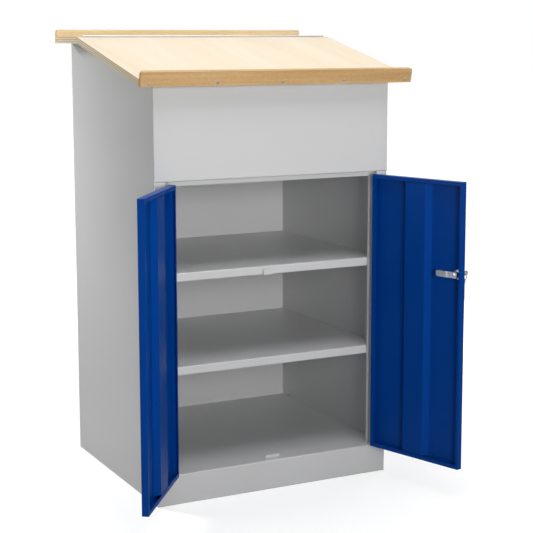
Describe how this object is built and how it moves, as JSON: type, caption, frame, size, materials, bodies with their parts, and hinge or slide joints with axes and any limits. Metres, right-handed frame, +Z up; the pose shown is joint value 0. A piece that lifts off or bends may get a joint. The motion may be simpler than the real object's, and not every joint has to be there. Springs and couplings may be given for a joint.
{
  "type": "industrial pedestal desk",
  "caption": "Standing workshop desk: sloping lift-up writing board with pencil rails on a sheet-steel cupboard with hinged lockable doors and shelves.",
  "frame": {"origin": "on the floor, under the middle of the carcass", "axes": "+Z up, +Y towards the back, +X to the right of a person who stands at the front"},
  "size_m": [0.9326, 0.9378, 1.2585],
  "materials": {
    "grey_enamel": "light grey powder coat, satin",
    "blue_enamel": "deep blue powder coat, satin",
    "zinc_plate": "zinc plated",
    "chrome_plate": "nickel or chrome plated",
    "bright_steel": "bright steel",
    "birch_plywood": "pale birch plywood, clear lacquer",
    "beech": "solid beech, clear lacquer"
  },
  "bodies": {
    "cabinet": {"left_side_panel": "grey_enamel", "right_side_panel": "grey_enamel", "back_panel": "grey_enamel", "front_fascia": "grey_enamel", "compartment_floor": "grey_enamel", "base_pan": "grey_enamel", "base_fixings": "zinc_plate", "upper_shelf": "grey_enamel", "lower_shelf": "grey_enamel", "shelf_supports": "grey_enamel", "floor_stop": "grey_enamel", "lock_keeper": "grey_enamel", "rear_ledge": "birch_plywood", "rear_rail": "beech", "rear_rail_screws": "zinc_plate", "ledge_screws": "zinc_plate", "lid_hinge_fixed_leaf": "bright_steel", "lid_hinge_fixed_screws": "zinc_plate", "lid_hinge_pin": "bright_steel", "left_hinge_frame_barrels": "grey_enamel", "left_hinge_pins": "bright_steel", "right_hinge_frame_barrels": "grey_enamel", "right_hinge_pins": "bright_steel"},
    "lid": {"writing_board": "birch_plywood", "front_rail": "beech", "front_rail_screws": "zinc_plate", "lid_hinge_moving_leaf": "bright_steel", "lid_hinge_moving_screws": "zinc_plate"},
    "left_door": {"left_door_pan": "blue_enamel", "left_door_stiffener": "blue_enamel", "left_hinge_door_barrels": "blue_enamel"},
    "right_door": {"right_door_pan": "blue_enamel", "right_door_stiffener": "blue_enamel", "right_hinge_door_barrels": "blue_enamel", "lock_housing": "chrome_plate", "lock_nut": "zinc_plate"},
    "lock": {"lock_plug": "chrome_plate", "lock_cam": "zinc_plate", "cam_screw": "zinc_plate", "key": "chrome_plate"},
    "spare_keys": {"key_ring": "bright_steel", "spare_key": "chrome_plate"}
  },
  "joints": [
    {"name": "lid_hinge", "type": "hinge", "parent": "cabinet", "child": "lid", "pos_m": [0, 0.1145, 1.2391], "axis": [-1, 0, 0], "range_deg": [0, 110]},
    {"name": "left_door_hinge", "type": "hinge", "parent": "cabinet", "child": "left_door", "pos_m": [-0.31625, -0.318, 0.47225], "axis": [0, 0, -1], "range_deg": [-127, 48]},
    {"name": "right_door_hinge", "type": "hinge", "parent": "cabinet", "child": "right_door", "pos_m": [0.31625, -0.318, 0.47225], "axis": [0, 0, 1], "range_deg": [-107, 68]},
    {"name": "lock_turn", "type": "hinge", "parent": "right_door", "child": "lock", "pos_m": [0.39731, -0.60196, 0.613], "axis": [0.9563, 0.2924, 0], "range_deg": [0, 180]},
    {"name": "spare_key_swing", "type": "hinge", "parent": "right_door", "child": "spare_keys", "pos_m": [0.39731, -0.60196, 0.613], "axis": [0.9563, 0.2924, 0], "range_deg": [-30, 30]}
  ]
}
